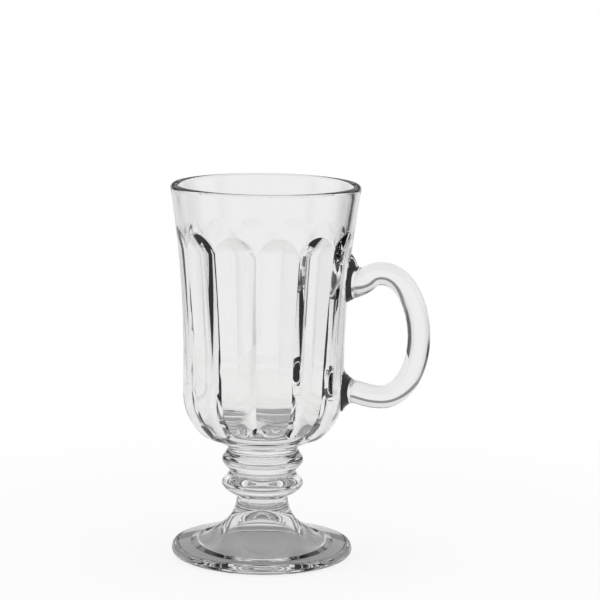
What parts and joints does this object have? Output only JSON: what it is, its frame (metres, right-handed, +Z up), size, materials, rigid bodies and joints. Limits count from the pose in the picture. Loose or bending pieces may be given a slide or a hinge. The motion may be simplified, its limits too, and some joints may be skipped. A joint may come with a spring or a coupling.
{
  "type": "footed glass mug",
  "caption": "Clear pressed-glass footed mug with a flared bowl panelled inside, ringed stem, domed foot and looped side handle for hot drinks.",
  "frame": {"origin": "on the table under the middle of the whole mug, handle included; the bowl's axis stands 14.45 mm from it towards -X", "axes": "+Z up along the bowl's axis, +X towards the handle, +Y across the mug"},
  "size_m": [0.1054, 0.0766, 0.1524],
  "materials": {
    "clear_glass": "pressed and fire-polished, colourless"
  },
  "bodies": {
    "root": {"foot": "clear_glass", "stem": "clear_glass", "bowl": "clear_glass", "handle": "clear_glass"}
  },
  "joints": []
}
